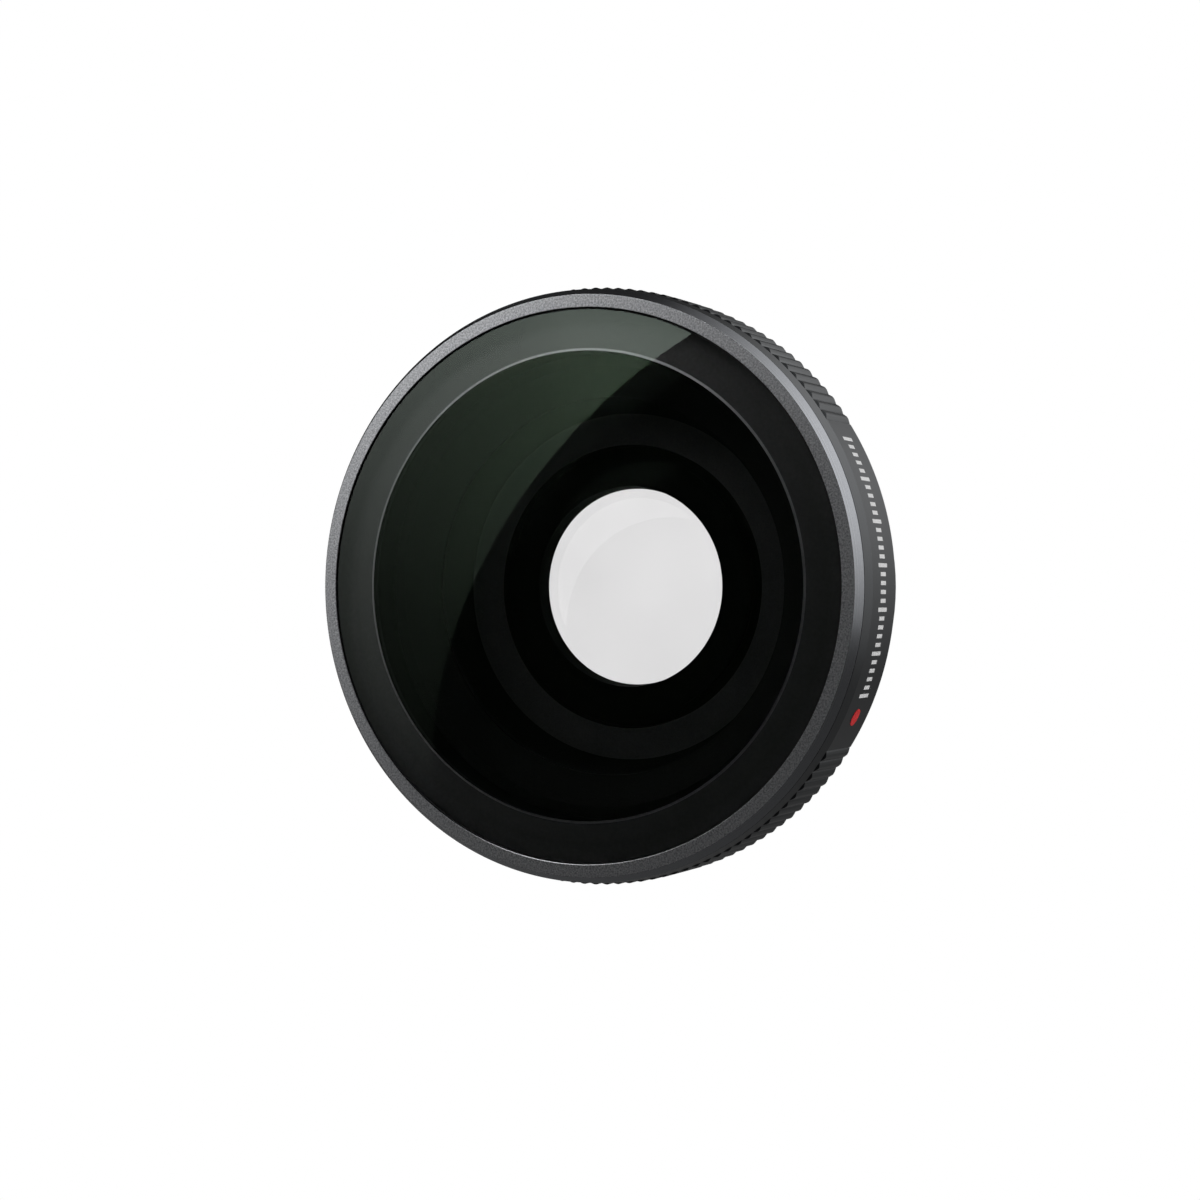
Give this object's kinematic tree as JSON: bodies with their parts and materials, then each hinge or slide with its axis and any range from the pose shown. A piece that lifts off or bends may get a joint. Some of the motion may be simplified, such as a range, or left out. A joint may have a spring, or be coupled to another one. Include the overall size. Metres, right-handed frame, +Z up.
{
  "type": "wide-angle conversion lens",
  "caption": "Round wide-angle conversion lens: domed front glass in a chamfered bezel, knurled twist-lock grip ring with rear claws, stepped black interior round a clear centre.",
  "frame": {"origin": "on the optical axis, in the plane of the barrel's rear end face, at the mouth of the pilot bore", "axes": "+Y along the optical axis towards the camera, so the front glass faces -Y; +Z up as pictured; +X towards the middle of the grip ring's smooth window"},
  "size_m": [0.0479, 0.0257, 0.048],
  "materials": {
    "bezel_metal": "bead-blasted face with a satin turned chamfer, grey anodised",
    "grip_metal": "satin turned, dark grey anodised",
    "matte_black": "matte black anodised",
    "optical_glass": "polished, anti-reflection coated",
    "seal_rubber": "moulded, matte",
    "washer_plastic": "low-friction plastic, natural white",
    "small_steel": "turned stainless and spring steel",
    "index_red": "red enamel"
  },
  "bodies": {
    "barrel": {"front_bezel": "bezel_metal", "front_seal": "seal_rubber", "front_element": "optical_glass", "front_trim_ring": "matte_black", "bezel_o_ring": "seal_rubber", "main_barrel": "matte_black", "front_baffle": "matte_black", "middle_element": "optical_glass", "aperture_ring": "matte_black", "rear_crown_element": "optical_glass", "rear_flint_element": "optical_glass", "rear_retainer": "matte_black", "camera_seal": "seal_rubber", "thrust_washer": "washer_plastic", "stop_pin": "small_steel", "ring_circlip": "small_steel", "locating_pin": "small_steel"},
    "lock_ring": {"grip_ring": "grip_metal", "index_dot": "index_red", "claw_ring": "grip_metal", "claw_ring_screws": "small_steel"}
  },
  "joints": [
    {"name": "lock_ring_turn", "type": "hinge", "parent": "barrel", "child": "lock_ring", "pos_m": [0, 0, 0], "axis": [0, 1, 0], "range_deg": [0, 60]}
  ]
}
